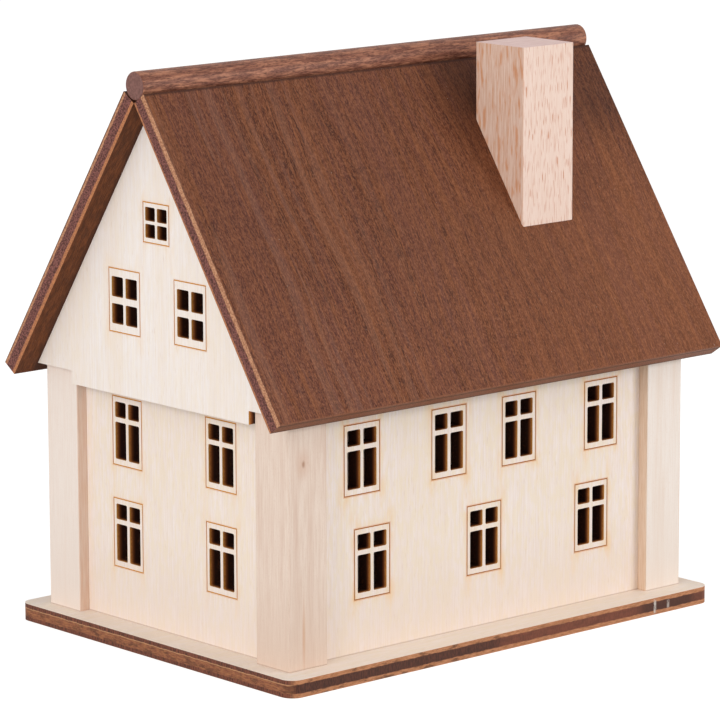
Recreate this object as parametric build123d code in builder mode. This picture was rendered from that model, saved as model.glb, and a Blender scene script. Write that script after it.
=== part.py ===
# A small wooden house for one tealight. The ridge runs along X and the long wall
# with seven windows faces -Y. The origin is in the middle of the base's underside,
# +Z is up, and all lengths are in millimetres.
import os

from math import cos, radians, sin, tan

from build123d import *

# Base board
base_length = 122.5
base_width = 91.0
base_thickness = 3.8
base_corner_radius = 3.0

# Corner posts, square strips that stand on the base, in from its edges
base_end_margin = 4.25
base_side_margin = 5.5
post_side = 10.5
post_height = 53.4
post_edge_radius = 0.4

# Wall panels, set back between the posts
wall_setback = 2.6
wall_thickness = 3.8
wall_end_clearance = 0.05

# Floor board inside the walls, which holds the tealight
floor_thickness = 3.0
floor_clearance = 0.2
tealight_hole_clearance = 0.5

# Gable panels of the lid
gable_thickness = 3.8
gable_running_clearance = 0.2
gable_ear_overhang = 1.1
tongue_depth = 2.9
tongue_end_clearance = 0.15

# Roof boards
roof_pitch = 56.0
roof_end_overhang = 6.85
roof_eave_overhang = 2.4
roof_thickness = 3.9
ridge_joint_gap = 0.2

# Ridge rod, which lies in the groove between the roof boards
ridge_rod_diameter = 6.0
ridge_rod_end_setback = 0.2
ridge_rod_edge_radius = 0.3

# Chimney block on the front slope
chimney_side = 15.0
chimney_front_height = 38.7
chimney_from_middle = 29.2
chimney_from_ridge = 18.8
chimney_edge_radius = 0.4

# Tall window: two short panes over two long ones
tall_width = 10.0
tall_height = 15.2
tall_side_margin = 0.95
tall_top_margin = 1.3
tall_bottom_margin = 1.4
tall_mullion = 0.8
tall_transom = 1.0
tall_upper_pane = 3.4

# Attic window: four panes, with a wide bar across
attic_width = 10.5
attic_height = 13.8
attic_side_margin = 1.0
attic_end_margin = 1.85
attic_mullion = 0.8
attic_bar = 1.45

# Little window near the apex: four panes
apex_width = 8.7
apex_height = 8.7
apex_side_margin = 0.8
apex_end_margin = 1.1
apex_mullion = 0.65
apex_bar = 0.65

# Laser cuts: the engraved line round each window, and the corner of a pane
engraved_line = 0.25
engraved_depth = 0.2
pane_corner_radius = 0.35

# Window centres: from the post tops, the base board or the apex
upper_window_below_post_top = 12.1
lower_window_above_base = 19.0
attic_window_above_post_top = 17.3
apex_window_below_apex = 25.65

# Window centres: from the post beside them, or from the middle of their panel
outer_window_from_post = 11.85
lower_window_from_post = 14.6
short_wall_window_from_post = 13.95
inner_window_from_middle = 10.15
attic_window_from_middle = 10.85

# Tealight
cup_diameter = 38.0
cup_height = 15.5
cup_wall = 0.35
cup_foot_radius = 1.5
cup_rim_radius = 0.45
wax_height = 12.5
wax_clearance = 0.1
wick_diameter = 1.7
wick_above_wax = 8.0
sustainer_diameter = 13.0
sustainer_thickness = 0.4
sustainer_neck_diameter = 2.9
sustainer_neck_height = 4.0
wick_clearance = 0.1

# Every cut runs past its panel by this much
overrun = 1.0

# Heights and distances that follow from the sizes above
post_top = base_thickness + post_height
half_length = base_length / 2 - base_end_margin
half_width = base_width / 2 - base_side_margin
wall_x = half_length - wall_setback
wall_y = half_width - wall_setback
post_gap_x = 2 * (half_length - post_side)
post_gap_y = 2 * (half_width - post_side)
gable_x = wall_x + gable_running_clearance + gable_thickness
pitch = radians(roof_pitch)
ear_half_width = half_width + gable_ear_overhang
slope_run = ear_half_width - ridge_joint_gap / 2
roof_apex_height = post_top + slope_run * tan(pitch)
roof_slope_length = slope_run / cos(pitch) + roof_eave_overhang
roof_board_length = 2 * (half_length + roof_end_overhang)
groove_bottom = roof_apex_height - ridge_joint_gap / 2 / tan(pitch)
ridge_rod_height = groove_bottom + ridge_rod_diameter / 2 / sin(pitch)
ridge_rod_length = roof_board_length - 2 * ridge_rod_end_setback
chimney_front_run = chimney_from_ridge + chimney_side / 2 - ridge_joint_gap / 2
chimney_foot_height = roof_apex_height + roof_thickness / cos(pitch) - chimney_front_run * tan(pitch)
long_wall_outer_window = post_gap_x / 2 - outer_window_from_post
long_wall_lower_window = post_gap_x / 2 - lower_window_from_post
short_wall_window = post_gap_y / 2 - short_wall_window_from_post
upper_window_height = post_top - upper_window_below_post_top
lower_window_height = base_thickness + lower_window_above_base
attic_window_height = post_top + attic_window_above_post_top
apex_window_height = roof_apex_height - apex_window_below_apex

os.makedirs("parts", exist_ok=True)


def write(piece, name):
    piece.part.label = name
    export_step(piece.part, f"parts/{name}.step")


# Windows

def pane_grid(width, side, mullion, rows):
    """Draws the panes of one window. Each row is its lower edge and its height."""
    pane_width = (width - 2 * side - mullion) / 2
    pane_x = (mullion + pane_width) / 2
    for lower_edge, pane_height in rows:
        with Locations((-pane_x, lower_edge + pane_height / 2), (pane_x, lower_edge + pane_height / 2)):
            RectangleRounded(pane_width, pane_height, pane_corner_radius)


def tall_panes():
    transom_top = tall_height / 2 - tall_top_margin - tall_upper_pane
    lower_edge = tall_bottom_margin - tall_height / 2
    lower_pane = transom_top - tall_transom - lower_edge
    rows = [(transom_top, tall_upper_pane), (lower_edge, lower_pane)]
    pane_grid(tall_width, tall_side_margin, tall_mullion, rows)


def attic_panes():
    pane_height = (attic_height - attic_bar) / 2 - attic_end_margin
    rows = [(attic_bar / 2, pane_height), (-attic_bar / 2 - pane_height, pane_height)]
    pane_grid(attic_width, attic_side_margin, attic_mullion, rows)


def apex_panes():
    pane_height = (apex_height - apex_bar) / 2 - apex_end_margin
    rows = [(apex_bar / 2, pane_height), (-apex_bar / 2 - pane_height, pane_height)]
    pane_grid(apex_width, apex_side_margin, apex_mullion, rows)


def engraved_frame(width, height):
    Rectangle(width, height)
    Rectangle(width - 2 * engraved_line, height - 2 * engraved_line, mode=Mode.SUBTRACT)


tall_kind = (tall_panes, tall_width, tall_height)
attic_kind = (attic_panes, attic_width, attic_height)
apex_kind = (apex_panes, apex_width, apex_height)


def window_panes(face, windows):
    """The panes of all windows of a panel, as a sketch on the panel's face."""
    with BuildSketch(face) as panes:
        for (draw_panes, _, _), across, up in windows:
            with Locations((across, up)):
                draw_panes()
    return panes.sketch


def window_frames(face, windows):
    """The engraved lines round all windows of a panel, as a sketch on its face."""
    with BuildSketch(face) as frames:
        for (_, width, height), across, up in windows:
            with BuildSketch(mode=Mode.PRIVATE) as frame:
                engraved_frame(width, height)
            with Locations((across, up)):
                add(frame.sketch)
    return frames.sketch


# The outer face of each side of the house, seen from outside: x runs to the right
front_face = Plane((0, -wall_y, 0), x_dir=(1, 0, 0), z_dir=(0, -1, 0))
rear_face = Plane((0, wall_y, 0), x_dir=(-1, 0, 0), z_dir=(0, 1, 0))
left_face = Plane((-wall_x, 0, 0), x_dir=(0, -1, 0), z_dir=(-1, 0, 0))
right_face = Plane((wall_x, 0, 0), x_dir=(0, 1, 0), z_dir=(1, 0, 0))
left_gable_face = Plane((-gable_x, 0, 0), x_dir=(0, -1, 0), z_dir=(-1, 0, 0))
right_gable_face = Plane((gable_x, 0, 0), x_dir=(0, 1, 0), z_dir=(1, 0, 0))

# Base board, with rounded corners
with BuildPart() as base_plate:
    with BuildSketch():
        RectangleRounded(base_length, base_width, base_corner_radius)
    extrude(amount=base_thickness)
write(base_plate, "base_plate")

# Corner posts, solid strips with eased long edges
post_x = half_length - post_side / 2
post_y = half_width - post_side / 2
post_places = {
    "post_front_left": (-post_x, -post_y),
    "post_front_right": (post_x, -post_y),
    "post_rear_left": (-post_x, post_y),
    "post_rear_right": (post_x, post_y),
}
for post_name, (x, y) in post_places.items():
    with BuildPart() as post:
        with BuildSketch(Plane((x, y, base_thickness))):
            RectangleRounded(post_side, post_side, post_edge_radius)
        extrude(amount=post_height)
    write(post, post_name)

# Wall panels between the posts, with their panes cut through
long_wall_windows = [
    (tall_kind, -long_wall_outer_window, upper_window_height),
    (tall_kind, -inner_window_from_middle, upper_window_height),
    (tall_kind, inner_window_from_middle, upper_window_height),
    (tall_kind, long_wall_outer_window, upper_window_height),
    (tall_kind, -long_wall_lower_window, lower_window_height),
    (tall_kind, 0, lower_window_height),
    (tall_kind, long_wall_lower_window, lower_window_height),
]
short_wall_windows = [
    (tall_kind, -short_wall_window, upper_window_height),
    (tall_kind, short_wall_window, upper_window_height),
    (tall_kind, -short_wall_window, lower_window_height),
    (tall_kind, short_wall_window, lower_window_height),
]
wall_panels = {
    "front_wall": (front_face, post_gap_x, long_wall_windows),
    "rear_wall": (rear_face, post_gap_x, long_wall_windows),
    "left_wall": (left_face, post_gap_y, short_wall_windows),
    "right_wall": (right_face, post_gap_y, short_wall_windows),
}
for wall_name, (face, post_gap, windows) in wall_panels.items():
    with BuildPart() as wall:
        with BuildSketch(face):
            with Locations((0, base_thickness)):
                Rectangle(post_gap - 2 * wall_end_clearance, post_height, align=(Align.CENTER, Align.MIN))
        extrude(amount=-wall_thickness)
        extrude(window_panes(face, windows), amount=-wall_thickness - overrun, mode=Mode.SUBTRACT)
        extrude(window_frames(face, windows), amount=-engraved_depth, mode=Mode.SUBTRACT)
    write(wall, wall_name)

# Floor board, notched round the posts, with the hole that holds the tealight
floor_half_x = wall_x - wall_thickness - floor_clearance
floor_half_y = wall_y - wall_thickness - floor_clearance
notch_x = half_length - post_side - floor_clearance
notch_y = half_width - post_side - floor_clearance
with BuildPart() as floor_plate:
    with BuildSketch(Plane.XY.offset(base_thickness)):
        Rectangle(2 * floor_half_x, 2 * notch_y)
        Rectangle(2 * notch_x, 2 * floor_half_y)
        Circle(cup_diameter / 2 + tealight_hole_clearance, mode=Mode.SUBTRACT)
    extrude(amount=floor_thickness)
write(floor_plate, "floor_plate")

# Gable panels: ears that rest on the posts, and a tongue that drops between them
tongue_half_width = post_gap_y / 2 - tongue_end_clearance
gable_right_side = [
    (tongue_half_width, post_top - tongue_depth),
    (tongue_half_width, post_top),
    (ear_half_width, post_top),
    (ridge_joint_gap / 2, roof_apex_height),
]
gable_outline = gable_right_side + [(-across, up) for across, up in reversed(gable_right_side)]
gable_windows = [
    (apex_kind, 0, apex_window_height),
    (attic_kind, -attic_window_from_middle, attic_window_height),
    (attic_kind, attic_window_from_middle, attic_window_height),
]
gable_panels = {"left_gable_panel": left_gable_face, "right_gable_panel": right_gable_face}
for gable_name, face in gable_panels.items():
    with BuildPart() as gable_panel:
        with BuildSketch(face):
            with BuildLine():
                Polyline(*gable_outline, close=True)
            make_face()
        extrude(amount=-gable_thickness)
        extrude(window_panes(face, gable_windows), amount=-gable_thickness - overrun, mode=Mode.SUBTRACT)
        extrude(window_frames(face, gable_windows), amount=-engraved_depth, mode=Mode.SUBTRACT)
    write(gable_panel, gable_name)

# Roof boards: each lies on the slanted edges of both gable panels
front_slope = Plane(
    (0, -ridge_joint_gap / 2, roof_apex_height),
    x_dir=(1, 0, 0),
    z_dir=(0, -sin(pitch), cos(pitch)),
)
rear_slope = Plane(
    (0, ridge_joint_gap / 2, roof_apex_height),
    x_dir=(-1, 0, 0),
    z_dir=(0, sin(pitch), cos(pitch)),
)
for roof_name, slope in {"front_roof_panel": front_slope, "rear_roof_panel": rear_slope}.items():
    with BuildPart() as roof_panel:
        with BuildSketch(slope):
            Rectangle(roof_board_length, roof_slope_length, align=(Align.CENTER, Align.MAX))
        extrude(amount=roof_thickness)
    write(roof_panel, roof_name)

# Ridge rod, resting on the square-cut upper ends of both roof boards
with BuildPart() as ridge_rod:
    with BuildSketch(Plane((-ridge_rod_length / 2, 0, ridge_rod_height), z_dir=(1, 0, 0))):
        Circle(ridge_rod_diameter / 2)
    extrude(amount=ridge_rod_length)
    fillet(ridge_rod.edges().filter_by(GeomType.CIRCLE), ridge_rod_edge_radius)
write(ridge_rod, "ridge_rod")

# Chimney block, its foot cut to the slope
with BuildPart() as chimney:
    with BuildSketch(Plane((chimney_from_middle, -chimney_from_ridge, chimney_foot_height))):
        RectangleRounded(chimney_side, chimney_side, chimney_edge_radius)
    extrude(amount=chimney_front_height)
    split(bisect_by=front_slope.offset(roof_thickness), keep=Keep.TOP)
write(chimney, "chimney")

# Tealight cup: thin drawn metal with a rounded foot and a rolled rim
cup_radius = cup_diameter / 2
cup_inner_radius = cup_radius - cup_wall
cup_top = base_thickness + cup_height
cup_floor_top = base_thickness + cup_wall
with BuildPart() as tealight_cup:
    with BuildSketch(Plane.XY.offset(base_thickness)):
        Circle(cup_radius - cup_rim_radius)
    extrude(amount=cup_height - cup_rim_radius)
    fillet(tealight_cup.edges().group_by(Axis.Z)[0], cup_foot_radius)
    offset(amount=-cup_wall, openings=tealight_cup.faces().sort_by(Axis.Z)[-1])
    with BuildSketch(Plane.XZ):
        with Locations((cup_radius - cup_rim_radius, cup_top - cup_rim_radius)):
            Circle(cup_rim_radius)
    revolve(axis=Axis.Z)
write(tealight_cup, "tealight_cup")

# Wick sustainer: a disc with a neck, on the floor of the cup
neck_top = cup_floor_top + sustainer_thickness + sustainer_neck_height
with BuildPart() as wick_sustainer:
    with BuildSketch(Plane.XY.offset(cup_floor_top)):
        Circle(sustainer_diameter / 2)
    extrude(amount=sustainer_thickness)
    with BuildSketch(Plane.XY.offset(cup_floor_top + sustainer_thickness)):
        Circle(sustainer_neck_diameter / 2)
    extrude(amount=sustainer_neck_height)
    with BuildSketch(Plane.XY.offset(cup_floor_top + sustainer_thickness)):
        Circle(wick_diameter / 2 + wick_clearance)
    extrude(amount=sustainer_neck_height + overrun, mode=Mode.SUBTRACT)
write(wick_sustainer, "wick_sustainer")

# Wick, standing in the neck and through the wax
wax_top = cup_floor_top + wax_height
wick_foot = cup_floor_top + sustainer_thickness
with BuildPart() as wick:
    with BuildSketch(Plane.XY.offset(wick_foot)):
        Circle(wick_diameter / 2)
    extrude(amount=wax_top + wick_above_wax - wick_foot)
write(wick, "wick")

# Wax, poured round the sustainer and the wick
wax_radius = cup_radius - cup_rim_radius - cup_wall - wax_clearance
with BuildPart() as tealight_wax:
    with BuildSketch(Plane.XY.offset(cup_floor_top)):
        Circle(wax_radius)
    extrude(amount=wax_height)
    fillet(tealight_wax.edges().group_by(Axis.Z)[0], cup_foot_radius - cup_wall)
    with BuildSketch(Plane.XY.offset(cup_floor_top)):
        Circle(sustainer_diameter / 2 + wax_clearance)
    extrude(amount=sustainer_thickness + wax_clearance, mode=Mode.SUBTRACT)
    with BuildSketch(Plane.XY.offset(cup_floor_top)):
        Circle(sustainer_neck_diameter / 2 + wax_clearance)
    extrude(amount=neck_top + wax_clearance - cup_floor_top, mode=Mode.SUBTRACT)
    with BuildSketch(Plane.XY.offset(cup_floor_top)):
        Circle(wick_diameter / 2 + wax_clearance)
    extrude(amount=wax_height + overrun, mode=Mode.SUBTRACT)
write(tealight_wax, "tealight_wax")

print(f"rod top {ridge_rod_height + ridge_rod_diameter / 2:.2f}")
print(f"chimney top {chimney_foot_height + chimney_front_height:.2f}")
print(f"apex {roof_apex_height:.2f}, slope {roof_slope_length:.2f}, gable face at x {gable_x:.2f}")
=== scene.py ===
# %% [markdown]
# A wooden tealight house, dressed for a picture.
# The real one is laser-cut plywood on four solid wood posts, with a stained lid and a candle inside.
# The CAD frame already has every board at its true size, so this lesson keeps those solids and
# spends its effort on finishes: what wood, laser, stain, metal and wax each do to light.
# Only the candle is modelled again, because poured wax and twisted cotton are never exact solids.

import bpy
from math import atan2, cos, radians, sin
from mathutils import Matrix, Vector


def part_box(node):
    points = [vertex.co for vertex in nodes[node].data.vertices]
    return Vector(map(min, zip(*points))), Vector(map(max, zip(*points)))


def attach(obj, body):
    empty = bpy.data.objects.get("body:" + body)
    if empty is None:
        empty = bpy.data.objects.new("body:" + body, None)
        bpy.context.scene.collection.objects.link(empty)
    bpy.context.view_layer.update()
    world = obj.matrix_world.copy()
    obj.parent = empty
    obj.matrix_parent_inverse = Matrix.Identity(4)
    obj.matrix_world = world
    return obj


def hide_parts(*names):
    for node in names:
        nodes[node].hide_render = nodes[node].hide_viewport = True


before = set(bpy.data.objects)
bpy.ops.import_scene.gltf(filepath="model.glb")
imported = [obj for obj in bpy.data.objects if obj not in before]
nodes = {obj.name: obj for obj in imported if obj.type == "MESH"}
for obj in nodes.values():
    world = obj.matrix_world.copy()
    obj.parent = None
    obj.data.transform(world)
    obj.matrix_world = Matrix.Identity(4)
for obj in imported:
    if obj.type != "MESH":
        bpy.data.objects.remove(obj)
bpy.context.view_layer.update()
MM = 0.001

# %% [markdown]
# Patterns such as burn marks and smoke need to know where the boards end. Those places are read
# from the frame, in mm, so that a finish stays on its board if a size changes.

# %% Places on the house
base_low, base_high = (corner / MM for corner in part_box("base_plate"))
floor_low, floor_high = (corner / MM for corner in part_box("floor_plate"))
post_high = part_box("post_front_left")[1] / MM
roof_low, roof_high = (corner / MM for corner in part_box("front_roof_panel"))
chimney_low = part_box("chimney")[0] / MM
gable_low, gable_high = (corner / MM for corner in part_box("left_gable_panel"))
wall_face_y = -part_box("front_wall")[0].y / MM
wall_face_x = -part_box("left_wall")[0].x / MM
gable_face_x = -gable_low.x
post_top = post_high.z
apex = gable_high.z
pitch = atan2(apex - post_top, gable_high.y)
eave_run = (apex - roof_low.z) / sin(pitch)
print("post tops, apex and slope in mm:", round(post_top, 2), round(apex, 2), round(eave_run, 2))

# %% [markdown]
# The camera stands 95 cm away, left of the front corner and a little above it. A long lens keeps
# upright lines nearly parallel, as product pictures do.

# %% Camera
camera_place = Vector((-612.84, -689.02, 233.11)) * MM
turn_left = radians(41.56)
look_down = radians(10.87)
tilt = radians(-0.17)
forward = Vector((sin(turn_left) * cos(look_down), cos(turn_left) * cos(look_down), -sin(look_down)))
level_right = Vector((cos(turn_left), -sin(turn_left), 0))
level_up = level_right.cross(forward)
right = cos(tilt) * level_right + sin(tilt) * level_up
up = cos(tilt) * level_up - sin(tilt) * level_right
camera_data = bpy.data.cameras.new("camera")
camera_data.lens = 215.612
camera_data.sensor_width = 36
camera_data.clip_start = 0.05
camera_data.clip_end = 20
camera = bpy.data.objects.new("camera", camera_data)
camera.matrix_world = Matrix.Translation(camera_place) @ Matrix((right, up, -forward)).transposed().to_4x4()
bpy.context.scene.collection.objects.link(camera)
bpy.context.scene.camera = camera
bpy.context.scene.view_settings.view_transform = "Standard"
print("camera distance in mm:", round(camera_place.length / MM))

# %% [markdown]
# Every finish below is a small network of nodes. One helper adds a node, sets it and wires it.
# Colours are written as a painter would mix them on screen and then made linear for the renderer.

# %% Adding a node
def linear(hex_colour):
    """An sRGB hex colour as a linear one, by the sRGB standard's own curve."""
    channels = [int(hex_colour[i:i + 2], 16) / 255 for i in (1, 3, 5)]
    return [c / 12.92 if c <= 0.04045 else ((c + 0.055) / 1.055) ** 2.4 for c in channels] + [1.0]


def add(tree, kind, inputs=None, **settings):
    """Adds a node. An input given as a socket is wired, a hex colour or a number is set."""
    made = tree.nodes.new(kind)
    for name, value in settings.items():
        setattr(made, name, value)
    for name, value in (inputs or {}).items():
        if isinstance(value, bpy.types.NodeSocket):
            tree.links.new(value, made.inputs[name])
        elif isinstance(value, str):
            made.inputs[name].default_value = linear(value)
        else:
            made.inputs[name].default_value = value
    return made


# %% [markdown]
# A wooden surface is built up as a finisher builds it: a ground colour, then thin coats, each kept
# to its own place. A coat's limits say where it starts and where it is full, such as from 0.3 to
# 2 mm below a face, and where several limits are given it lies only where they all agree. Last, a
# relief lets the light catch on the fibres. It is given as its strength and its depth in mm.

# %% Starting, layering and closing a finish
def start_finish(name, constants):
    """A new material with a Principled shader and the piece's own coordinates."""
    material = bpy.data.materials.new(name)
    material.use_nodes = True
    tree = material.node_tree
    tree.nodes.clear()
    shader = add(tree, "ShaderNodeBsdfPrincipled", constants)
    add(tree, "ShaderNodeOutputMaterial", {"Surface": shader.outputs[0]})
    coordinates = add(tree, "ShaderNodeTexCoord")
    return material, tree, shader, coordinates


def grain(tree, place, sizes, detail=2.0, roughness=0.5, shift=0.0):
    """Noise near 0.5 whose marks measure sizes, in mm, along X, Y and Z."""
    scale = [1 / (size * MM) for size in sizes]
    stretched = add(tree, "ShaderNodeMapping", {
        "Vector": place, "Location": (shift, shift, shift), "Scale": scale})
    noise = add(tree, "ShaderNodeTexNoise", {
        "Vector": stretched.outputs[0], "Scale": 1.0, "Detail": detail, "Roughness": roughness})
    return noise.outputs[0]


def along_grain(axis, across, along):
    """Mark sizes in mm along X, Y and Z for wood whose fibres run along one axis."""
    return [along if name == axis else across for name in "XYZ"]


def lay(tree, ground, *coats):
    """Lays coats on a ground. A coat is its colour, its thickness from 0 to 1, and its limits."""
    for colour, thickness, *limits in coats:
        for value, starts, full in limits:
            thickness = add(tree, "ShaderNodeMapRange", {
                "Value": value, "From Min": starts, "From Max": full, "To Max": thickness,
            }, interpolation_type="SMOOTHSTEP").outputs[0]
        mixed = add(tree, "ShaderNodeMix", {0: thickness, 6: ground, 7: colour}, data_type="RGBA")
        ground = mixed.outputs[2]
    return ground


def in_mm(tree, place):
    """The piece's own coordinates, split into X, Y and Z and counted in mm."""
    enlarged = add(tree, "ShaderNodeVectorMath", {0: place, "Scale": 1 / MM}, operation="SCALE")
    return add(tree, "ShaderNodeSeparateXYZ", {0: enlarged.outputs[0]}), enlarged.outputs[0]


def close_finish(tree, shader, colour, height, strength, relief):
    """Wires the colour, and a relief of so many mm that follows height, to the shader."""
    bump = add(tree, "ShaderNodeBump", {"Height": height, "Strength": strength, "Distance": relief * MM})
    tree.links.new(colour, shader.inputs["Base Color"])
    tree.links.new(bump.outputs[0], shader.inputs["Normal"])


def dress(node_name, material):
    """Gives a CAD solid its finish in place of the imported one."""
    mesh = nodes[node_name].data
    mesh.materials.clear()
    mesh.materials.append(material)


# %% [markdown]
# Poplar plywood is pale, close and almost even. The eye still finds four things in it: hair-fine
# fibres, broad bands a little warmer than the rest, small cream clouds, and short pores. They all
# run one way, so each is noise drawn out along the grain. Sanded wood scatters light, so its
# roughness is high and its highlight is weak. Real pores are thinner than a pixel here and are
# drawn as coarse as shows. Low on the house, walls and posts are painted a tone darker as shade,
# and a thin line at their foot is painted contact shade where they meet the base.

# %% Plywood face
sanded_wood = {"Roughness": 0.62, "Specular IOR Level": 0.25}
sanded_relief = (0.25, 0.09)
ply_pale = "#FAEEE8"
ply_shade = "#EAD6C6"
ply_warm = "#F4E2D0"
ply_cream = "#F4E3C6"
ply_pore = "#D2B196"
# Painted contact shade: a thin greyish line where walls and posts meet the base.
foot_contact_shade = "#B39784"
foot_contact_line = (base_high.z + 0.3, base_high.z + 0.1)
# Painted shade: walls and posts are a tone darker towards the base, over these heights in mm.
painted_low_shade = "#EAD6C9"
low_shade_height = (base_high.z + 24, base_high.z + 2)


def plywood_face(tree, place, axis, pale, shade, cream):
    """cream is how thick the yellowish clouds are."""
    fibres = grain(tree, place, along_grain(axis, 0.32, 11), 3.0, 0.6)
    bands = grain(tree, place, along_grain(axis, 5.5, 90), 2.0, 0.5, 3.1)
    clouds = grain(tree, place, along_grain(axis, 0.9, 3.5), 3.0, 0.6, 4.2)
    pores = grain(tree, place, along_grain(axis, 0.22, 2.6), 1.0, 0.5, 7.7)
    colour = lay(
        tree, pale,
        (shade, 0.65, (fibres, 0.3, 0.75)),
        (ply_warm, 0.4, (bands, 0.35, 0.7)),
        (ply_cream, cream, (clouds, 0.42, 0.6)),
        (ply_pore, 0.28, (pores, 0.66, 0.78)))
    return colour, fibres


# %% [markdown]
# Smoke from the laser settles beside a window's corners. To know how near a corner is, each window
# is folded onto one of its own quarters: the distance to that quarter's corner is the distance to
# the nearest of all four. The panels are alike left and right of their middle, so they fold too.
# Smoke spreads along the grain, so height counts for less in that distance than width does. How
# far a point lies outside the nearest frame line is worked out as well. Inside it is negative.

# %% Distance to the nearest window
width_counts = 1.4
height_counts = 0.55


def near_windows(tree, across, height, windows):
    """In mm: distance to the nearest corner, as smoke spreads, and how far outside a frame line."""
    folded = add(tree, "ShaderNodeMath", {0: across}, operation="ABSOLUTE").outputs[0]
    on_face = add(tree, "ShaderNodeCombineXYZ", {0: folded, 1: height}).outputs[0]
    corners = []
    frames = []
    vector = "ShaderNodeVectorMath"
    for centre, half_size in windows:
        moved = add(tree, vector, {0: on_face, 1: (*centre, 0)}, operation="SUBTRACT").outputs[0]
        quarter = add(tree, vector, {0: moved}, operation="ABSOLUTE").outputs[0]
        off = add(tree, vector, {0: quarter, 1: (*half_size, 0)}, operation="SUBTRACT").outputs[0]
        spread = add(tree, vector, {
            0: off, 1: (width_counts, height_counts, 0)}, operation="MULTIPLY").outputs[0]
        sides = add(tree, "ShaderNodeSeparateXYZ", {0: off})
        corners.append(add(tree, vector, {0: spread}, operation="LENGTH").outputs["Value"])
        frames.append(add(tree, "ShaderNodeMath", {
            0: sides.outputs["X"], 1: sides.outputs["Y"]}, operation="MAXIMUM").outputs[0])
    nearest = []
    for distances in (corners, frames):
        least = distances[0]
        for distance in distances[1:]:
            least = add(tree, "ShaderNodeMath", {0: least, 1: distance}, operation="MINIMUM").outputs[0]
        nearest.append(least)
    return nearest


# %% [markdown]
# A laser leaves its own marks. Where the beam went through, the cut walls are charred: golden near
# the face and darker with depth, to nearly black in the core. Where it only scored, the line is
# thin, deep orange in its middle and golden at its rims, with a breath of smoke outside it. The
# depth below the board's face tells cut, score and face apart.

# %% Laser-cut plywood for walls and gables
scored_deep = "#AC5C00"
scored_light = "#D08C10"
scored_rim = "#E4AA44"
cut_golden = "#DB8E4A"
cut_brown = "#7C4420"
cut_core = "#2E140B"
smoke_yellow = "#F4CE9A"
smoke_orange = "#DB8526"
panel_thickness = 3.8
scored_depth = 0.2
scored_width = 0.25
# How far below a face, in mm, its own colour starts to give way to the burnt edge, and is gone.
face_start, face_end = 0.02, 0.06


def laser_cut_plywood(name, across, outer_face, windows, pale, shade, cream, score, smoke):
    """across is the panel's long axis, outer_face how far out its face is, score the line's colour.
    cream and smoke are how thick the yellowish clouds and the smoke lie."""
    material, tree, shader, coordinates = start_finish(name, sanded_wood)
    place = coordinates.outputs["Object"]
    mm, _ = in_mm(tree, place)
    inward = "Y" if across == "X" else "X"
    colour, fibres = plywood_face(tree, place, "Z", pale, shade, cream)
    from_middle = add(tree, "ShaderNodeMath", {0: mm.outputs[inward]}, operation="ABSOLUTE").outputs[0]
    depth = add(tree, "ShaderNodeMath", {0: outer_face, 1: from_middle}, operation="SUBTRACT").outputs[0]
    corner, frame_line = near_windows(tree, mm.outputs[across], mm.outputs["Z"], windows)
    inside_rim = add(tree, "ShaderNodeMath", {0: frame_line, 1: scored_width / 2}, operation="ADD")
    off_middle = add(tree, "ShaderNodeMath", {0: inside_rim.outputs[0]}, operation="ABSOLUTE").outputs[0]
    clouds = grain(tree, place, along_grain("Z", 1.6, 5), 2.0, 0.5, 5.3)
    char = grain(tree, place, (0.5, 0.5, 0.5), 2.0, 0.6, 2.2)
    in_score = (depth, scored_depth + 0.1, scored_depth + 0.02)
    outside_frame = (frame_line, 0.0, 0.05)
    burnt = lay(
        tree, cut_golden,
        (cut_brown, 0.45, (char, 0.3, 0.7)),
        (cut_brown, 1.0, (depth, 0.2, 1.1)),
        (cut_core, 1.0, (depth, 0.6, 1.7)),
        (cut_brown, 0.3, (depth, 1.6, 2.4), (char, 0.5, 0.7)),
        (score, 1.0, in_score),
        (scored_rim, 0.7, in_score, (off_middle, 0.05, 0.12)))
    colour = lay(
        tree, colour,
        # painted shade, a tone darker low down
        (painted_low_shade, 0.4, (mm.outputs["Z"], *low_shade_height)),
        (smoke_yellow, smoke, (corner, 3.6, 0.0), (clouds, 0.3, 0.7)),
        (smoke_yellow, smoke / 2, (frame_line, 1.8, 0.0), outside_frame, (clouds, 0.35, 0.6)),
        (smoke_orange, smoke, (frame_line, 0.32, 0.0), outside_frame),
        # painted contact shade at the foot
        (foot_contact_shade, 0.6, (mm.outputs["Z"], *foot_contact_line)),
        (burnt, 1.0, (depth, 0.03, 0.08),
         (depth, panel_thickness - face_start, panel_thickness - face_end)))
    close_finish(tree, shader, colour, fibres, *sanded_relief)
    return material


# %% [markdown]
# The windows stand in rows. A row's height is counted from the post tops, the base or the apex, as
# a maker would mark it out, and a window's place across its panel from the panel's middle. The
# long walls took the most smoke and the gables the least.

# %% Windows of each panel, and the panels dressed
tall_half = (5.0, 7.6)
attic_half = (5.25, 6.9)
apex_half = (4.35, 4.35)
upper_row = post_top - 12.1
lower_row = base_high.z + 19.0
attic_row = post_top + 17.3
apex_row = apex - 25.65
long_wall_windows = [
    ((10.15, upper_row), tall_half),
    ((34.65, upper_row), tall_half),
    ((0, lower_row), tall_half),
    ((31.9, lower_row), tall_half),
]
short_wall_windows = [((15.55, upper_row), tall_half), ((15.55, lower_row), tall_half)]
gable_windows = [((10.85, attic_row), attic_half), ((0, apex_row), apex_half)]
gable_pale = "#FBF3EE"
gable_shade = "#EFE2D9"
long_cream, short_cream, gable_cream = 0.5, 0.45, 0.2
long_smoke, short_smoke, gable_smoke = 0.55, 0.32, 0.22
long_wall = (
    "X", wall_face_y, long_wall_windows, ply_pale, ply_shade, long_cream, scored_deep, long_smoke)
short_wall = (
    "Y", wall_face_x, short_wall_windows, ply_pale, ply_shade, short_cream, scored_light, short_smoke)
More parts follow.
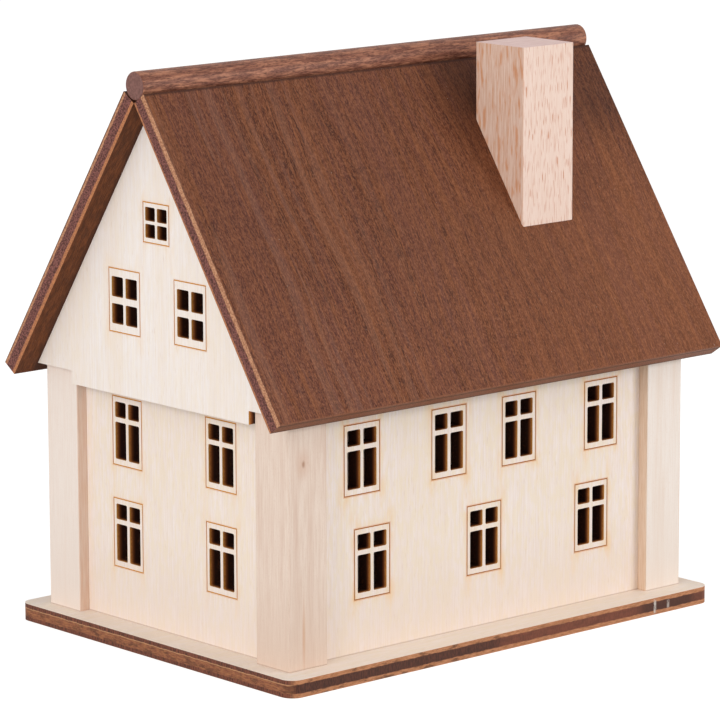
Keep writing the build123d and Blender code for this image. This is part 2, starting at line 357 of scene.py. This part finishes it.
gable = (
    "Y", gable_face_x, gable_windows, gable_pale, gable_shade, gable_cream, scored_light, gable_smoke)
panel_finishes = {
    "front_wall": long_wall,
    "rear_wall": long_wall,
    "left_wall": short_wall,
    "right_wall": short_wall,
    "left_gable_panel": gable,
    "right_gable_panel": gable,
}
for panel_name, details in panel_finishes.items():
    dress(panel_name, laser_cut_plywood(f"laser_cut_plywood_{panel_name}", *details))
print("panels dressed:", len(panel_finishes))

# %% [markdown]
# The base and the floor are the same plywood, laid flat. Their edge shows the three plies: on the
# long sides the outer plies are cut along their fibres and toast to orange, while the core is cut
# across its fibres and chars dark. On the short sides it is the other way round. The beam ran
# hotter over the left half of the long sides and over a spot near their right end, which are
# sooty. Two drips of dried glue are left on the front edge. Each is given by its place along it,
# its thickness, and the heights of its two ends.

# %% Laser-cut plywood, laid flat
edge_orange = "#CB8D66"
edge_tan = "#AA7049"
edge_brown = "#7E4835"
edge_sooty = "#3C231A"
edge_glow = "#DCAC7E"
flat_pale = "#FBEFE5"
flat_shade = "#F3E2D4"
glue_white = "#D9CEC4"
flat_cream = 0.3
ply_waver = 0.5
outer_ply_share = 0.25
joint_blur = 0.1
# Limits along the board, in mm, for the two places that the beam burnt most.
hot_cut = (-1, -5)
hot_spot = ((36, 42), (58, 54))
front_glue = [(43.8, 0.85, 0.2, 3.7), (47.9, 0.6, 0.7, 2.9)]


def flat_plywood(name, foot, top, glue_drips=()):
    """foot and top are the heights of the board's two faces."""
    material, tree, shader, coordinates = start_finish(name, sanded_wood)
    place = coordinates.outputs["Object"]
    mm, _ = in_mm(tree, place)
    height = mm.outputs["Z"]
    face_colour, fibres = plywood_face(tree, place, "X", flat_pale, flat_shade, flat_cream)
    char = grain(tree, place, (1.6, 1.6, 0.3), 4.0, 0.7, 1.3)
    soot = grain(tree, place, (3.2, 3.2, 1.0), 4.0, 0.65, 4.4)
    end_pores = grain(tree, place, (0.25, 0.25, 1.2), 1.0, 0.5, 2.9)
    along = mm.outputs["X"]
    toasted = lay(
        tree, edge_orange,
        (edge_tan, 1.0, (char, 0.35, 0.65)),
        (edge_sooty, 0.25, (soot, 0.5, 0.68)),
        (edge_sooty, 0.6, (soot, 0.5, 0.68), (along, *hot_cut)))
    charred = lay(
        tree, edge_brown,
        (edge_sooty, 0.3, (end_pores, 0.42, 0.6)),
        (edge_sooty, 0.3, (soot, 0.45, 0.65)),
        (edge_sooty, 0.75, (along, *hot_spot[0]), (along, *hot_spot[1])),
        (edge_sooty, 0.6, (along, *hot_cut)),
        (edge_sooty, 0.7, (end_pores, 0.42, 0.6), (along, *hot_cut)))
    wander = grain(tree, place, (2.4, 2.4, 2.4), 3.0, 0.65, 6.6)
    wavy = add(tree, "ShaderNodeMath", {
        0: wander, 1: ply_waver, 2: height}, operation="MULTIPLY_ADD").outputs[0]
    ply = outer_ply_share * (top - foot)
    low_joint = foot + ply + ply_waver / 2
    high_joint = top - ply + ply_waver / 2
    core = (
        (wavy, low_joint - joint_blur, low_joint + joint_blur),
        (wavy, high_joint + joint_blur, high_joint - joint_blur))
    glue_line = (
        (wavy, high_joint - 0.22, high_joint - 0.1),
        (wavy, high_joint + 0.06, high_joint - 0.06))
    long_side = lay(tree, toasted, (charred, 1.0, *core))
    end_ply = lay(tree, edge_brown, (edge_sooty, 0.75, (end_pores, 0.42, 0.6)))
    end_core = lay(
        tree, edge_tan,
        (edge_brown, 0.9, (char, 0.35, 0.62)),
        (edge_sooty, 0.6, (soot, 0.47, 0.66)))
    short_side = lay(tree, end_ply, (end_core, 1.0, *core), (edge_glow, 0.6, *glue_line))
    normal = add(tree, "ShaderNodeSeparateXYZ", {0: coordinates.outputs["Normal"]})
    to_end = add(tree, "ShaderNodeMath", {0: normal.outputs["X"]}, operation="ABSOLUTE").outputs[0]
    edge = lay(tree, long_side, (short_side, 1.0, (to_end, 0.4, 0.9)))
    for drip, thickness, low_end, high_end in glue_drips:
        offset = add(tree, "ShaderNodeMath", {0: along, 1: drip}, operation="SUBTRACT").outputs[0]
        beside = add(tree, "ShaderNodeMath", {0: offset}, operation="ABSOLUTE").outputs[0]
        crumbs = grain(tree, place, (0.4, 0.4, 0.9), 3.0, 0.7, drip)
        edge = lay(tree, edge, (
            glue_white, thickness, (beside, 0.55, 0.1), (crumbs, 0.36, 0.5),
            (mm.outputs["Y"], base_low.y + 0.2, base_low.y + 0.1),
            (height, low_end, low_end + 0.4), (height, high_end, high_end - 0.4)))
    colour = lay(tree, face_colour, (
        edge, 1.0, (height, foot + face_start, foot + face_end), (height, top - face_start, top - face_end)))
    close_finish(tree, shader, colour, fibres, *sanded_relief)
    return material


dress("base_plate", flat_plywood("laser_cut_plywood_base", base_low.z, base_high.z, front_glue))
dress("floor_plate", flat_plywood("laser_cut_plywood_floor", floor_low.z, floor_high.z))
print("flat boards dressed: 2")

# %% [markdown]
# The posts are planed strips of solid limewood. Each was cut from another part of the stick, so
# each has its own three tones: pale wood, its shade, and its streaks. Two posts also have a darker
# pair of sides. The front left one has a small soft knot, and a warm streak near its foot.

# %% Planed limewood for the posts
planed_wood = {"Roughness": 0.6, "Specular IOR Level": 0.25}
planed_relief = (0.3, 0.11)
knotty_tones = ("#F0DDCE", "#DCC0AC", "#D2AE99")
palest_tones = ("#F7ECE3", "#EFDFD2", "#E6CBB4")
pale_tones = ("#F6E9DF", "#EEDCCF", "#EAD2C1")
plain_tones = ("#F4E6DA", "#E8D4C4", "#E3C8B4")
flank_tan = "#CFA57C"
flank_rose = "#DDB396"
knot_halo = "#CFA084"
knot_heart = "#9E6A4A"
knot_place = (-52.9, -40.0, 46.9)
knot_shape = (1, 1, 0.55)
foot_streak = "#D19C72"
foot_streak_place = (-53.0, -40.0, 11.0)
foot_streak_shape = (2.0, 1, 0.11)


def limewood(name, pale, shade, streak):
    """What all the posts share. The finish is left open for the marks of a single post."""
    material, tree, shader, coordinates = start_finish(name, planed_wood)
    place = coordinates.outputs["Object"]
    fibres = grain(tree, place, (0.3, 0.3, 7), 3.0, 0.62)
    bands = grain(tree, place, (2.0, 2.0, 40), 2.0, 0.5, 2.5)
    speckle = grain(tree, place, (0.2, 0.2, 0.6), 1.0, 0.5, 9.1)
    mm, _ = in_mm(tree, place)
    colour = lay(
        tree, pale,
        (shade, 0.6, (fibres, 0.3, 0.75)),
        (streak, 0.4, (bands, 0.45, 0.8)),
        (streak, 0.3, (speckle, 0.55, 0.8)),
        # painted shade, a tone darker low down
        (shade, 0.5, (mm.outputs["Z"], *low_shade_height)),
        # painted contact shade at the foot
        (foot_contact_shade, 0.6, (mm.outputs["Z"], *foot_contact_line)))
    return material, tree, shader, coordinates, colour, fibres


def plain_limewood(name, tones, flank_axis=None, flank_colour=None):
    """flank_axis names the axis that the darker pair of sides faces."""
    material, tree, shader, coordinates, colour, fibres = limewood(name, *tones)
    if flank_axis:
        normal = add(tree, "ShaderNodeSeparateXYZ", {0: coordinates.outputs["Normal"]})
        turned = add(tree, "ShaderNodeMath", {
            0: normal.outputs[flank_axis]}, operation="ABSOLUTE").outputs[0]
        streak = tones[2]
        flank = lay(tree, flank_colour, (streak, 1.0, (fibres, 0.3, 0.75)))
        colour = lay(tree, colour, (flank, 0.75, (turned, 0.6, 0.8)))
    close_finish(tree, shader, colour, fibres, *planed_relief)
    return material


def knotty_limewood(name, tones):
    """A shape above 1 makes its mark narrower along that axis, one below 1 makes it longer."""
    material, tree, shader, coordinates, colour, fibres = limewood(name, *tones)
    _, place_mm = in_mm(tree, coordinates.outputs["Object"])
    distances = []
    for middle, shape in ((knot_place, knot_shape), (foot_streak_place, foot_streak_shape)):
        off = add(tree, "ShaderNodeVectorMath", {0: place_mm, 1: middle}, operation="SUBTRACT").outputs[0]
        shaped = add(tree, "ShaderNodeVectorMath", {0: off, 1: shape}, operation="MULTIPLY").outputs[0]
        distances.append(add(tree, "ShaderNodeVectorMath", {0: shaped}, operation="LENGTH").outputs["Value"])
    from_knot, from_streak = distances
    colour = lay(
        tree, colour,
        (foot_streak, 0.6, (from_streak, 1.2, 0.0)),
        (knot_halo, 0.4, (from_knot, 2.6, 0.2)),
        (knot_heart, 0.65, (from_knot, 0.6, 0.1)))
    close_finish(tree, shader, colour, fibres, *planed_relief)
    return material


dress("post_front_left", knotty_limewood("planed_limewood_knotty", knotty_tones))
dress("post_front_right", plain_limewood("planed_limewood_palest", palest_tones, "X", flank_tan))
dress("post_rear_left", plain_limewood("planed_limewood_pale", pale_tones, "Y", flank_rose))
dress("post_rear_right", plain_limewood("planed_limewood_plain", plain_tones))
print("posts dressed: 4")

# %% [markdown]
# The lid's boards are three-ply, stained dark brown. Stain sinks in unevenly, so the fibres show as
# lighter and darker streaks that run down the slope. At the rakes the plies take it differently:
# end grain drinks it and goes dull brown, long grain stays light orange. The stain fills the pores
# and kills the shine, so the highlight is weaker than on bare wood.
# The patterns are laid in the board's own directions: along the ridge, down the slope, and up from
# the underside. The grain drifts a few mm sideways on its way down. On the face lie fine fibres and
# grit, veins and threads that run far down the slope, and broad pale veils towards the left, whose
# greyish tint is painted sheen. Painted shade darkens the line under the rod, the front slope beside
# the chimney, and the underside at the gables.

# %% Stained plywood for the roof boards
stained_wood = {"Roughness": 0.55, "Specular IOR Level": 0.12}
stained_relief = (0.4, 0.13)
stain_brown = "#713E26"
stain_light = "#9E623F"
# The deep stain also paints the shade under the rod, beside the chimney and under the roof at the gables.
stain_deep_and_shade = "#3D221A"
stain_violet = "#6E4238"
# A greyish tone for the painted sheen on the left of the slope.
painted_sheen_grey = "#A47C6C"
stain_grit = "#9F694D"
under_brown = "#824B2A"
under_dark = "#4A2A1A"
wood_dust = "#B9A79C"
rake_orange = "#CE9A76"
rake_gold = "#CC8656"
rake_tan = "#9F6A4E"
rake_brown = "#8A5850"
rake_dark = "#50302A"
eave_brown = "#8E5B42"
rake_skin = "#5F3D2F"
rake_waver = 0.5
grain_drift = 9
# Widths in mm of the painted shade beside the chimney and under the roof at the gables.
chimney_shade_width = 11
gable_shade_width = 1.8


def stained_roof(name, side, inner_ply, outer_ply, skin):
    """side is -1 for the front slope, 1 for the rear. At the rake the inner ply ends at inner_ply,
    the outer ply starts at outer_ply and its dark skin at skin, on the wavy height in mm."""
    material, tree, shader, coordinates = start_finish(name, stained_wood)
    mm, place_mm = in_mm(tree, coordinates.outputs["Object"])
    from_ridge = add(tree, "ShaderNodeVectorMath", {
        0: place_mm, 1: (0, 0, apex)}, operation="SUBTRACT").outputs[0]
    run = add(tree, "ShaderNodeVectorMath", {
        0: from_ridge, 1: (0, side * cos(pitch), -sin(pitch))}, operation="DOT_PRODUCT").outputs["Value"]
    level = add(tree, "ShaderNodeVectorMath", {
        0: from_ridge, 1: (0, side * sin(pitch), cos(pitch))}, operation="DOT_PRODUCT").outputs["Value"]
    along = mm.outputs["X"]
    drift = grain(tree, coordinates.outputs["Object"], (45, 45, 60), 1.0, 0.5, 71 + side)
    curved = add(tree, "ShaderNodeMath", {
        0: drift, 1: grain_drift, 2: along}, operation="MULTIPLY_ADD").outputs[0]
    board_mm = add(tree, "ShaderNodeCombineXYZ", {0: curved, 1: run, 2: level}).outputs[0]
    board = add(tree, "ShaderNodeVectorMath", {0: board_mm, "Scale": MM}, operation="SCALE").outputs[0]

    fibres = grain(tree, board, (0.24, 2.2, 0.24), 3.0, 0.7, side)
    light_fibres = grain(tree, board, (0.24, 2.4, 0.24), 2.0, 0.65, 61 + side)
    threads = grain(tree, board, (0.42, 20, 0.42), 2.0, 0.55, 34 + side)
    sheen_veils = grain(tree, board, (2.6, 80, 2.6), 2.0, 0.55, 38 + side)
    light_veins = grain(tree, board, (0.7, 32, 0.7), 2.0, 0.6, 4 + side)
    dull_veins = grain(tree, board, (0.9, 38, 0.9), 2.0, 0.6, 30 + side)
    dark_veins = grain(tree, board, (0.8, 28, 0.8), 2.0, 0.6, 51 + side)
    patches = grain(tree, board, (1.3, 4, 1.3), 2.0, 0.6, 41 + side)
    bands = grain(tree, board, (6, 110, 6), 2.0, 0.6, 8 + side)
    pores = grain(tree, board, (0.2, 1.3, 0.2), 2.0, 0.6, 12 + side)
    dust = grain(tree, board, (0.45, 0.55, 0.45), 1.0, 0.5, 17 + side)
    grit = grain(tree, board, (0.24, 0.6, 0.24), 2.0, 0.7, 25 + side)
    reach = add(tree, "ShaderNodeMath", {0: along}, operation="ABSOLUTE").outputs[0]
    underside = lay(
        tree, under_brown,
        (under_dark, 0.7, (fibres, 0.62, 0.35)),
        (under_dark, 0.5, (patches, 0.62, 0.4)),
        # painted shade on the underside where it meets a gable
        (stain_deep_and_shade, 0.7, (reach, gable_face_x + gable_shade_width, gable_face_x)))
    face = lay(
        tree, stain_deep_and_shade,
        (stain_brown, 1.0, (fibres, 0.34, 0.6)),
        (stain_light, 0.34, (light_veins, 0.5, 0.68)),
        (stain_violet, 0.5, (dull_veins, 0.48, 0.64)),
        (stain_deep_and_shade, 0.22, (dark_veins, 0.52, 0.7)),
        (stain_violet, 0.4, (bands, 0.5, 0.6)),
        (stain_light, 0.25, (bands, 0.45, 0.36)),
        (stain_light, 0.5, (light_fibres, 0.51, 0.64)),
        (stain_grit, 0.52, (grit, 0.5, 0.64)),
        (stain_deep_and_shade, 0.5, (grit, 0.5, 0.36)),
        (stain_light, 0.3, (threads, 0.53, 0.68)),
        # painted sheen: a greyish veil in long streaks towards the left of the slope
        (painted_sheen_grey, 0.15, (sheen_veils, 0.52, 0.62), (along, 10, -45)),
        (stain_light, 0.22, (along, -40, 62), (run, 5, 45)),
        (stain_deep_and_shade, 0.12, (run, 72, 35), (along, 60, 20)),
        # painted shadow: the dark line under the ridge rod
        (stain_deep_and_shade, 0.75, (run, 0.8, 0.3)),
        # painted shadow cast by the chimney on the front slope, to its left
        (stain_deep_and_shade, 0.45, (along, chimney_low.x - chimney_shade_width, chimney_low.x),
         (run, 26, 14), (mm.outputs["Y"], 0, -1)),
        (underside, 1.0, (level, 0.3, 0.15)),
        (wood_dust, 0.5, (dust, 0.79, 0.83)))

    crumble = grain(tree, board, (0.3, 0.38, 0.3), 2.0, 0.6, 6 + side)
    wander = grain(tree, board, (1.2, 3, 1.2), 3.0, 0.6, 21 + side)
    wavy = add(tree, "ShaderNodeMath", {
        0: wander, 1: rake_waver, 2: level}, operation="MULTIPLY_ADD").outputs[0]
    long_grain = lay(tree, rake_orange, (rake_tan, 1.0, (crumble, 0.38, 0.62)))
    inner_grain = lay(tree, rake_gold, (rake_tan, 0.8, (crumble, 0.38, 0.62)))
    end_grain = lay(tree, rake_brown, (rake_dark, 1.0, (crumble, 0.4, 0.6)))
    rake = lay(
        tree, end_grain,
        (long_grain, 1.0, (wavy, outer_ply, outer_ply + 0.3)),
        (rake_skin, 0.9, (wavy, skin, skin + 0.2)),
        (inner_grain, 0.85, (wavy, inner_ply + 0.25, inner_ply)))
    eave = lay(
        tree, eave_brown,
        (stain_deep_and_shade, 0.6, (pores, 0.45, 0.7)),
        (stain_deep_and_shade, 0.75, (wavy, 2.9, 3.1), (wavy, 3.5, 3.3)),
        (stain_deep_and_shade, 0.5, (wavy, 0.9, 0.6)))
    colour = lay(
        tree, face,
        (eave, 1.0, (run, eave_run - 0.3, eave_run - 0.1)),
        (rake, 1.0, (reach, roof_high.x - 0.06, roof_high.x - 0.03)))
    close_finish(tree, shader, colour, fibres, *stained_relief)
    return material


# The front slope's dark skin is a hairline, the rear's is wider.
dress("front_roof_panel", stained_roof(
    "stained_plywood_front_slope", side=-1, inner_ply=0.6, outer_ply=2.75, skin=4.0))
dress("rear_roof_panel", stained_roof(
    "stained_plywood_rear_slope", side=1, inner_ply=1.0, outer_ply=3.25, skin=3.85))
print("roof boards dressed: 2")

# %% [markdown]
# The ridge rod is a turned beech dowel under the same stain. Beech has short dark pores and light
# flames along its length. Its sawn ends drank more stain and look dull.

# %% Stained dowel
turned_wood = {"Roughness": 0.48, "Specular IOR Level": 0.25}
dowel_dark = "#5D3326"
dowel_brown = "#905A46"
dowel_flame = "#CE8D6C"
dowel_pore = "#4A281C"
dowel_end = "#6C4840"
dowel_ring = "#865C54"


def stained_dowel(name):
    """The rod lies along X, and so do its fibres."""
    material, tree, shader, coordinates = start_finish(name, turned_wood)
    place = coordinates.outputs["Object"]
    fibres = grain(tree, place, (1.1, 0.22, 0.22), 3.0, 0.7, 1.7)
    flames = grain(tree, place, (5.5, 0.7, 0.7), 3.0, 0.7, 6.1)
    pores = grain(tree, place, (1.0, 0.22, 0.22), 1.0, 0.5, 3.3)
    rings = grain(tree, place, (1, 0.5, 0.5), 3.0, 0.6, 9.9)
    normal = add(tree, "ShaderNodeSeparateXYZ", {0: coordinates.outputs["Normal"]})
    to_end = add(tree, "ShaderNodeMath", {0: normal.outputs["X"]}, operation="ABSOLUTE").outputs[0]
    sawn_end = lay(tree, dowel_end, (dowel_ring, 1.0, (rings, 0.3, 0.7)))
    colour = lay(
        tree, dowel_dark,
        (dowel_brown, 1.0, (fibres, 0.33, 0.67)),
        (dowel_flame, 0.64, (flames, 0.42, 0.66)),
        (dowel_pore, 0.6, (pores, 0.55, 0.7)),
        (sawn_end, 1.0, (to_end, 0.6, 0.9)))
    close_finish(tree, shader, colour, fibres, *stained_relief)
    return material


dress("ridge_rod", stained_dowel("stained_beech_dowel"))
print("rod dressed")

# %% [markdown]
# The chimney is raw steamed beech. Its mark is the ray fleck. On one pair of sides the rays show as
# short thin dashes in a pale pink ground. On the other pair they lie flat, and the wood is darker
# with soft orange flames. The sawn top is pinker and dull. Its pores are hollows, so here the
# relief is turned inwards.

# %% Raw beech for the chimney
sawn_wood = {"Roughness": 0.58, "Specular IOR Level": 0.25}
sawn_relief = (0.3, -0.1)
beech_pink = "#F5DCCE"
beech_rose = "#EBCBB9"
beech_dash = "#CD8866"
beech_flat = "#E9CDBC"
beech_tan = "#DAB097"
beech_flame = "#D28A59"
beech_top = "#F5D6CF"
beech_saw_mark = "#E8C4BC"


def raw_beech(name):
    """The block stands with its fibres upright."""
    material, tree, shader, coordinates = start_finish(name, sawn_wood)
    place = coordinates.outputs["Object"]
    fibres = grain(tree, place, (0.3, 0.3, 5), 3.0, 0.6, 0.4)
    dashes = grain(tree, place, (0.17, 0.17, 3.2), 0.0, 0.4, 5.5)
    flames = grain(tree, place, (0.9, 0.9, 5.2), 2.0, 0.6, 8.2)
    saw_marks = grain(tree, place, (5, 0.5, 3), 3.0, 0.6, 3.8)
    front = lay(
        tree, beech_pink,
        (beech_rose, 0.7, (fibres, 0.3, 0.75)),
        (beech_dash, 0.8, (dashes, 0.63, 0.73)))
    flat = lay(
        tree, beech_flat,
        (beech_tan, 1.0, (fibres, 0.3, 0.7)),
        (beech_flame, 0.7, (flames, 0.48, 0.68)))
    sawn_top = lay(tree, beech_top, (beech_saw_mark, 1.0, (saw_marks, 0.3, 0.7)))
    normal = add(tree, "ShaderNodeSeparateXYZ", {0: coordinates.outputs["Normal"]})
    sideways = add(tree, "ShaderNodeMath", {0: normal.outputs["X"]}, operation="ABSOLUTE").outputs[0]
    colour = lay(
        tree, front,
        (flat, 1.0, (sideways, 0.6, 0.8)),
        (sawn_top, 1.0, (normal.outputs["Z"], 0.6, 0.8)))
    close_finish(tree, shader, colour, dashes, *sawn_relief)
    return material


dress("chimney", raw_beech("raw_beech_chimney"))
print("chimney dressed")

# %% [markdown]
# The candle is a tealight: a drawn aluminium cup, white wax, and a cotton wick in a tin foot.
# Drawing pulls fine level lines round the cup. A bare metal's colour is its reflection, so metallic
# is full. Wax is cloudy and half soft, and cotton is matt.

# %% Candle finishes
drawn_metal = {"Roughness": 0.3, "Metallic": 1.0}
set_wax = {"Roughness": 0.35, "IOR": 1.44}
dry_cotton = {"Roughness": 0.8, "Specular IOR Level": 0.25}
drawn_relief = (0.15, 0.05)
wax_relief = (0.3, 0.5)
thread_relief = (0.4, 0.1)
aluminium_light, aluminium_dark = "#DADBDD", "#C6C8CB"
tin_light, tin_dark = "#D2D1CE", "#BDBCB8"
wax_white, wax_cloud = "#F6F4EE", "#ECE8DF"
cotton_white, cotton_shade = "#F2EEE4", "#D9D2C2"


def drawn_metal_finish(name, light, dark):
    """Metal with level drawing lines, in two close tones."""
    material, tree, shader, coordinates = start_finish(name, drawn_metal)
    lines = grain(tree, coordinates.outputs["Object"], (6, 6, 0.25))
    colour = lay(tree, light, (dark, 1.0, (lines, 0.3, 0.7)))
    close_finish(tree, shader, colour, lines, *drawn_relief)
    return material


def poured_wax(name):
    """Wax that set with faint clouds and a gently uneven top."""
    material, tree, shader, coordinates = start_finish(name, set_wax)
    clouds = grain(tree, coordinates.outputs["Object"], (6, 6, 6), 3.0)
    colour = lay(tree, wax_white, (wax_cloud, 1.0, (clouds, 0.3, 0.7)))
    close_finish(tree, shader, colour, clouds, *wax_relief)
    return material


def waxed_cotton(name):
    """Cotton whose fine threads run up the wick."""
    material, tree, shader, coordinates = start_finish(name, dry_cotton)
    threads = grain(tree, coordinates.outputs["Object"], (0.25, 0.25, 0.6))
    colour = lay(tree, cotton_white, (cotton_shade, 1.0, (threads, 0.3, 0.7)))
    close_finish(tree, shader, colour, threads, *thread_relief)
    return material


dress("tealight_cup", drawn_metal_finish("drawn_aluminium_cup", aluminium_light, aluminium_dark))
dress("wick_sustainer", drawn_metal_finish("pressed_tinplate_foot", tin_light, tin_dark))
print("cup and wick foot dressed")

# %% [markdown]
# Poured wax is not a plain disc. It shrinks as it sets, so it stays high where it clings to the cup
# and to the wick, and dips between them. A flat circle is pulled up to a block, and its top is inset
# ring by ring. Each ring is lowered or raised a little, which draws that profile.

# %% Wax
def edit_start(obj):
    """Opens one object alone in edit mode, all of it selected."""
    bpy.ops.object.select_all(action="DESELECT")
    obj.select_set(True)
    bpy.context.view_layer.objects.active = obj
    bpy.ops.object.mode_set(mode="EDIT")
    bpy.ops.mesh.select_all(action="SELECT")


def edit_end(smooth_angle):
    """Closes edit mode with faces turned outwards and edges below the angle shaded smooth."""
    bpy.ops.mesh.select_all(action="SELECT")
    bpy.ops.mesh.normals_make_consistent(inside=False)
    bpy.ops.object.mode_set(mode="OBJECT")
    bpy.ops.object.transform_apply(location=True, rotation=True, scale=True)
    bpy.ops.object.shade_smooth_by_angle(angle=radians(smooth_angle))


wax_low, wax_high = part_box("tealight_wax")
wick_low, wick_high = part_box("wick")
wax_corners = 96
bpy.ops.object.select_all(action="DESELECT")
bpy.ops.mesh.primitive_circle_add(
    vertices=wax_corners, radius=wax_high.x, fill_type="NGON", location=(0, 0, wax_low.z))
wax = bpy.context.object
wax.name = "wax_fill"
edit_start(wax)
bpy.ops.mesh.extrude_region_move(TRANSFORM_OT_translate={"value": (0, 0, wax_high.z - wax_low.z)})
wax_rings = [
    (0.35, -0.22), (0.6, -0.2), (1.2, -0.16), (2.6, -0.08), (5.5, 0.0),
    (3.4, 0.02), (1.7, 0.08), (0.9, 0.22), (0.5, 0.2),
]
for step_in, rise in wax_rings:
    bpy.ops.mesh.inset(thickness=step_in * MM, use_even_offset=True)
    bpy.ops.transform.translate(value=(0, 0, rise * MM))
edit_end(smooth_angle=40)
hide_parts("tealight_wax")
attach(wax, "tealight")
wax.data.materials.append(poured_wax("poured_paraffin_wax"))
print("wax faces:", len(wax.data.polygons))

# %% [markdown]
# The wick is three cotton strands laid round each other. One strand is drawn by pulling a small
# circle upwards in short steps and turning it about the wick's middle after each step. The strand is
# then copied twice, a third of a turn apart, and the tip is pulled a little to one side.

# %% Wick
strand_corners = 10
strand_radius = 0.45 * MM
strand_from_middle = 0.4 * MM
wick_steps = 44
step_turn = radians(26)
tip_aside = 1.1 * MM
tip_drop = 0.15 * MM
bpy.ops.object.select_all(action="DESELECT")
bpy.ops.mesh.primitive_circle_add(
    vertices=strand_corners, radius=strand_radius, fill_type="NGON",
    location=(strand_from_middle, 0, wick_low.z))
strand = bpy.context.object
edit_start(strand)
step_up = (wick_high.z - wick_low.z) / wick_steps
for step in range(wick_steps):
    bpy.ops.mesh.extrude_region_move(TRANSFORM_OT_translate={"value": (0, 0, step_up)})
    bpy.ops.transform.rotate(value=step_turn, orient_axis="Z", center_override=(0, 0, 0))
edit_end(smooth_angle=60)
strands = [strand]
for turn in (120, 240):
    other = strand.copy()
    other.data = strand.data.copy()
    bpy.context.scene.collection.objects.link(other)
    other.data.transform(Matrix.Rotation(radians(turn), 4, "Z"))
    strands.append(other)
bpy.ops.object.select_all(action="DESELECT")
for part in strands:
    part.select_set(True)
bpy.context.view_layer.objects.active = strand
bpy.ops.object.join()
wick = bpy.context.object
wick.name = "twisted_wick"
for vertex in wick.data.vertices:
    above = max(0.0, vertex.co.z - wax_high.z) / (wick_high.z - wax_high.z)
    vertex.co.x += tip_aside * above ** 2
    vertex.co.z -= tip_drop * above ** 2
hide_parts("wick")
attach(wick, "tealight")
wick.data.materials.append(waxed_cotton("waxed_cotton_wick"))
print("wick faces:", len(wick.data.polygons))

# %% [markdown]
# The set is a white sweep: a large pale floor and an even white sky, with two wide soft lamps in
# front. The camera sees the sky and the floor as plain white, but they light the house gently. The
# floor's glow is short of white by what its faint paper adds, so a shadow still shows on it.

# %% Floor
floor_width = 8
floor_glow = 0.86
floor_tone = "#D8D6D4"
faint_tone = "#9A9A9A"
pure_white = "#FFFFFF"


def seen_directly(tree):
    """1 for rays from the camera, from a mirror-like surface or through glass."""
    rays = add(tree, "ShaderNodeLightPath")
    direct = rays.outputs["Is Camera Ray"]
    for other in ("Is Glossy Ray", "Is Transmission Ray"):
        either = add(tree, "ShaderNodeMath", {0: direct, 1: rays.outputs[other]}, operation="MAXIMUM")
        direct = either.outputs[0]
    return direct


bpy.ops.mesh.primitive_plane_add(size=floor_width, location=(0, 0, 0))
floor = bpy.context.object
floor.name = "studio_floor"
floor_material = bpy.data.materials.new("white_sweep")
floor_material.use_nodes = True
sweep = floor_material.node_tree
sweep.nodes.clear()
paper = add(sweep, "ShaderNodeBsdfDiffuse", {"Color": floor_tone})
faint_paper = add(sweep, "ShaderNodeBsdfDiffuse", {"Color": faint_tone})
glow = add(sweep, "ShaderNodeEmission", {"Color": pure_white, "Strength": floor_glow})
seen_paper = add(sweep, "ShaderNodeAddShader", {0: faint_paper.outputs[0], 1: glow.outputs[0]})
sweep_mix = add(sweep, "ShaderNodeMixShader", {
    0: seen_directly(sweep), 1: paper.outputs[0], 2: seen_paper.outputs[0]})
add(sweep, "ShaderNodeOutputMaterial", {"Surface": sweep_mix.outputs[0]})
floor.data.materials.append(floor_material)
print("floor is stage:", floor.name)

# %% Sky
sky_strength = 0.57
world = bpy.data.worlds.new("white_sky")
bpy.context.scene.world = world
world.use_nodes = True
sky = world.node_tree
sky.nodes.clear()
sky_light = add(sky, "ShaderNodeBackground", {"Color": pure_white, "Strength": sky_strength})
sky_white = add(sky, "ShaderNodeBackground", {"Color": pure_white, "Strength": 1.0})
sky_mix = add(sky, "ShaderNodeMixShader", {
    0: seen_directly(sky), 1: sky_light.outputs[0], 2: sky_white.outputs[0]})
add(sky, "ShaderNodeOutputWorld", {"Surface": sky_mix.outputs[0]})
print("sky strength:", sky_strength)

# %% Lamps
lamp_aim = Vector((0, 0, 0.06))


def soft_lamp(name, place, power, size):
    """A square lamp aimed at the middle of the house. place and size in metres, power in watts."""
    data = bpy.data.lights.new(name, "AREA")
    data.shape = "SQUARE"
    data.size = size
    data.energy = power
    lamp = bpy.data.objects.new(name, data)
    lamp.location = place
    lamp.rotation_euler = (lamp_aim - Vector(place)).to_track_quat("-Z", "Y").to_euler()
    bpy.context.scene.collection.objects.link(lamp)


soft_lamp("lamp_right", place=(0.6, -0.93, 0.34), power=4.7, size=0.5)
soft_lamp("lamp_left", place=(-1.05, -0.25, 0.34), power=5.1, size=0.6)
print("lamps: 2")
